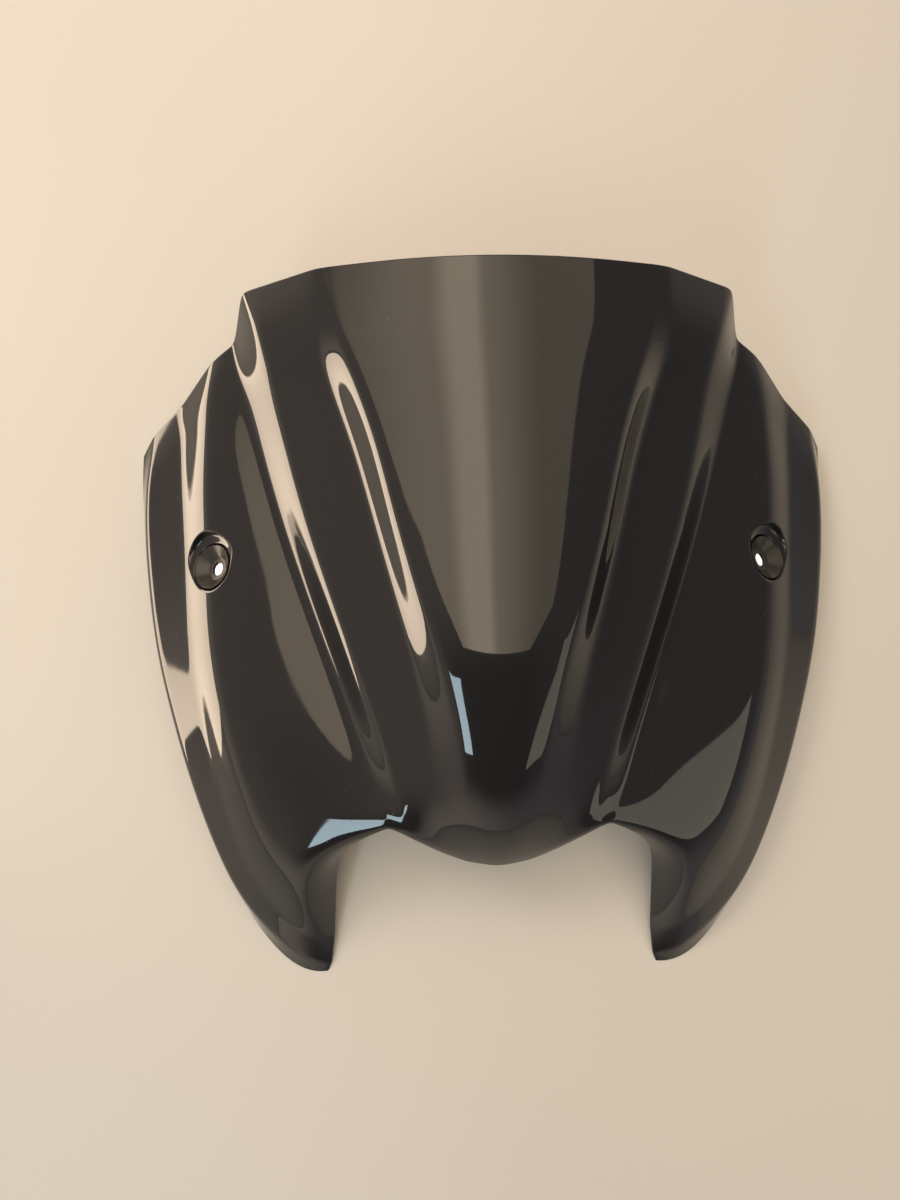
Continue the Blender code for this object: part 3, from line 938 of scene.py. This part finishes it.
def turned_piece(name, outline, place, finish, steps):
    """A ring turned from an outline in the recess's frame."""
    points = [(radius, 0, height) for radius, height in outline]
    edges = [(i, (i + 1) % len(points)) for i in range(len(points))]
    wire = bpy.data.meshes.new(name)
    wire.from_pydata(points, edges, [])
    obj = add_object(name, wire)
    tree, steps_input, finish_input = lathe_group()
    turn = obj.modifiers.new("turn", "NODES")
    turn.node_group = tree
    turn[steps_input] = steps
    turn[finish_input] = finish
    settle(obj)
    obj.data.transform(place)
    face_outwards(obj.data)
    if not obj.data.polygons:
        raise RuntimeError(f"{name} came out empty")
    return obj


def attach(obj, node):
    """Stands a finished piece in for its CAD node."""
    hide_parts(node)
    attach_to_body(obj, "root")


def ceiling_shade(graph):
    """Bright over the left, brightest in a band over the middle, and dim over the right."""
    x, _, _ = graph.parts(graph.add("ShaderNodeTexCoord", output="Object"))
    band = x.between(-0.75, -0.35) * (1 - x.between(-0.12, 0.1))
    fade = 0.3 + 0.7 * x.between(-2.6, -0.9)
    return fade * (1.0 + 0.75 * band - 0.55 * x.between(0.0, 0.9))


def disk_lamp(name, size, energy, place):
    """A round lamp that isn't seen in the polish. It shines straight down until it is turned."""
    light = bpy.data.lights.new(name, "AREA")
    light.shape = "DISK"
    light.size = size
    light.energy = energy
    lamp = add_object(name, light)
    lamp.location = place
    lamp.visible_glossy = False
    return lamp


def card(name, corners, colour, shade=None):
    """A glowing card for the polish to reflect. The camera doesn't see it and it casts no shadow."""
    mesh = bpy.data.meshes.new(name)
    mesh.from_pydata(corners, [], [range(len(corners))])
    glow = bpy.data.materials.new(name)
    glow.use_nodes = True
    glow.node_tree.nodes.clear()
    graph = Graph(glow.node_tree)
    strength = shade(graph) if shade else 1.0
    light = graph.add("ShaderNodeEmission", inputs={"Color": opaque(colour), "Strength": strength})
    graph.add("ShaderNodeOutputMaterial", inputs={"Surface": light})
    mesh.materials.append(glow)
    obj = add_object(name, mesh)
    obj.visible_camera = False
    obj.visible_shadow = False


def light_room(world, s):
    """Light from all round: brighter on the left than on the right, and darkest towards the legs."""
    world.use_nodes = True
    graph = Graph(world.node_tree)
    x, y, z = graph.parts(graph.add("ShaderNodeTexCoord", output="Generated"))
    right = x.between(-0.45, 0.35)
    colour = graph.mix(right, opaque(s.room_left), opaque(s.room_right))
    ahead = (0 - y).between(0.05, 0.45) * (1 - x.size().between(0.25, 0.7)) * z.between(0.1, 0.35)
    colour = graph.mix(ahead * 0.92, colour, opaque(UNLIT))
    haze = 1 - z.between(0.0, 0.35)
    background = world.node_tree.nodes["Background"]
    graph.join(colour, background.inputs["Color"])
    graph.join(0.8 + 0.7 * haze, background.inputs["Strength"])


class WINDSCREEN_OT_shell(bpy.types.Operator):
    """Add the moulding, with its two bolt recesses"""

    bl_idname = "windscreen.shell"
    bl_label = "Moulding"
    bl_options = {"REGISTER", "UNDO"}

    def execute(self, context):
        s = context.scene.screen_sizes
        mesh = half_shell(s)
        mesh.materials.append(gloss_black(s))
        obj = add_object("shell", mesh)
        mirror = obj.modifiers.new("other half", "MIRROR")
        mirror.use_clip = True
        mirror.merge_threshold = 0.00001
        evened = obj.modifiers.new("even shading", "WEIGHTED_NORMAL")
        evened.keep_sharp = False
        mesh.shade_smooth()
        settle(obj)
        shape = bmesh.new()
        shape.from_mesh(obj.data)
        loose = sum(not edge.is_manifold for edge in shape.edges)
        inside_out = shape.calc_volume(signed=True) < 0
        shape.free()
        if loose or inside_out:
            raise RuntimeError(f"the moulding has {loose} open edges, inside out {inside_out}")
        attach(obj, "screen_shell")
        return {"FINISHED"}


class WINDSCREEN_OT_cup_washers(bpy.types.Operator):
    """Add the two cup washers"""

    bl_idname = "windscreen.cup_washers"
    bl_label = "Cup washers"
    bl_options = {"REGISTER", "UNDO"}

    def execute(self, context):
        s = context.scene.screen_sizes
        finish = satin_black(s)
        recess = Recess(outer_skin(s))
        for side, word in ((1, "left"), (-1, "right")):
            name = f"{word}_washer"
            obj = turned_piece(name, washer_outline(s), recess.matrix(side), finish, s.turn_steps)
            attach(obj, f"{word}_cup_washer")
        return {"FINISHED"}


class WINDSCREEN_OT_rubber_rings(bpy.types.Operator):
    """Add the two rubber rings under the cup washers"""

    bl_idname = "windscreen.rubber_rings"
    bl_label = "Rubber rings"
    bl_options = {"REGISTER", "UNDO"}

    def execute(self, context):
        s = context.scene.screen_sizes
        finish = rubber(s)
        recess = Recess(outer_skin(s))
        for side, word in ((1, "left"), (-1, "right")):
            name = f"{word}_ring"
            obj = turned_piece(name, ring_outline(s), recess.matrix(side), finish, s.turn_steps)
            attach(obj, f"{word}_rubber_ring")
        return {"FINISHED"}


class WINDSCREEN_OT_stage(bpy.types.Operator):
    """Add the table, the lights and the camera"""

    bl_idname = "windscreen.stage"
    bl_label = "Table, lights and camera"
    bl_options = {"REGISTER", "UNDO"}

    def execute(self, context):
        scene = context.scene
        s = scene.screen_sizes

        scene.world = bpy.data.worlds.new("room")
        light_room(scene.world, s)
        scene.view_settings.view_transform = "Standard"

        table = bpy.data.meshes.new("table")
        corners = [(x * TABLE_REACH, y * TABLE_REACH, 0) for x, y in ((-1, -1), (1, -1), (1, 1), (-1, 1))]
        table.from_pydata(corners, [], [(0, 1, 2, 3)])
        table.materials.append(table_top(s))
        add_object("table", table)

        key = disk_lamp("key", 0.6, 11, KEY_PLACE)
        key.data.color = (1.0, 0.93, 0.84)
        key.rotation_euler = key.location.to_track_quat("Z", "Y").to_euler()
        x, y, z = UNDER_PLACE
        for side in (1, -1):
            disk_lamp("under", 0.02, 0.035, (side * x, y, z))

        card("ceiling", CEILING, s.ceiling_colour, ceiling_shade)
        card("window", WINDOW, s.window_colour)
        card("far_wall", FAR_WALL, s.wall_colour)
        card("side_glow", SIDE_GLOW, s.glow_colour)

        camera = bpy.data.cameras.new("camera")
        camera.sensor_width = 36
        camera.lens = 27
        view = add_object("camera", camera)
        turn = Euler([math.radians(angle) for angle in CAMERA_TURN]).to_matrix().to_4x4()
        view.matrix_world = Matrix.Translation(CAMERA_PLACE) @ turn
        scene.camera = view
        return {"FINISHED"}


class WINDSCREEN_PT_panel(bpy.types.Panel):
    """The screen's sizes and the buttons that build it"""

    bl_idname = "WINDSCREEN_PT_panel"
    bl_label = "Windshield screen"
    bl_space_type = "VIEW_3D"
    bl_region_type = "UI"
    bl_category = "Screen"

    def draw(self, context):
        s = context.scene.screen_sizes
        for name in s.bl_rna.properties.keys():
            if name not in ("rna_type", "name"):
                self.layout.prop(s, name)
        for operator in OPERATORS:
            self.layout.operator(operator.bl_idname)


OPERATORS = (WINDSCREEN_OT_shell, WINDSCREEN_OT_cup_washers, WINDSCREEN_OT_rubber_rings, WINDSCREEN_OT_stage)
CLASSES = (ScreenSizes, *OPERATORS, WINDSCREEN_PT_panel)


def register():
    for made in CLASSES:
        bpy.utils.register_class(made)
    bpy.types.Scene.screen_sizes = bpy.props.PointerProperty(type=ScreenSizes)


def unregister():
    del bpy.types.Scene.screen_sizes
    for made in reversed(CLASSES):
        bpy.utils.unregister_class(made)


def main():
    register()
    bpy.ops.windscreen.shell()
    bpy.ops.windscreen.cup_washers()
    bpy.ops.windscreen.rubber_rings()
    bpy.ops.windscreen.stage()


if __name__ == "__main__":
    main()
